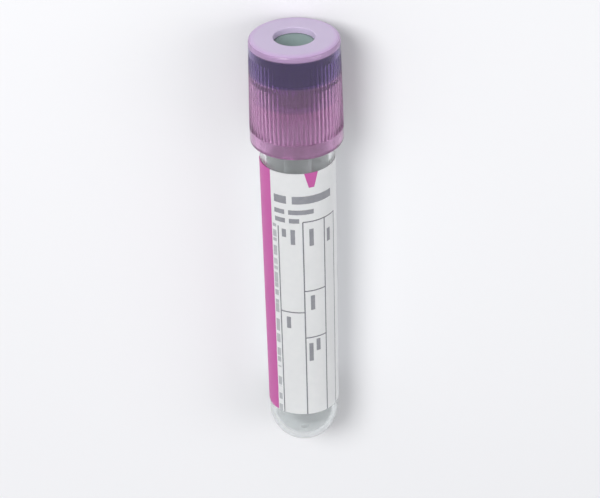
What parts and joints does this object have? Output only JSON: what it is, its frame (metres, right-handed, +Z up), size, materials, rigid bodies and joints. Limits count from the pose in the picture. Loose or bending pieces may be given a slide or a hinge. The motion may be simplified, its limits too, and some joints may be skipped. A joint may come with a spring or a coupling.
{
  "type": "blood collection tube",
  "caption": "Round-bottomed clear plastic tube with a paper label, closed by a rubber stopper in a ribbed translucent lavender shield that pulls off along the tube.",
  "frame": {"origin": "middle of the whole object's footprint on the surface that it lies on, under its bounding box", "axes": "+X along the lying tube, from its round end towards its closure, +Z up through the printed front of the label, +Y to the side of the label's first edge"},
  "size_m": [0.0814, 0.016, 0.0163],
  "materials": {
    "clear_plastic": "clear, polished",
    "paper": "coated white paper with magenta and grey print",
    "rubber": "smooth matt",
    "lavender_plastic": "translucent, satin"
  },
  "bodies": {
    "barrel": {"tube": "clear_plastic", "label": "paper"},
    "closure": {"stopper": "rubber", "shield": "lavender_plastic"}
  },
  "joints": [
    {"name": "closure_pull", "type": "slide", "parent": "barrel", "child": "closure", "axis": [0.9995, 0, 0.032], "range_m": [0, 0.03]}
  ]
}
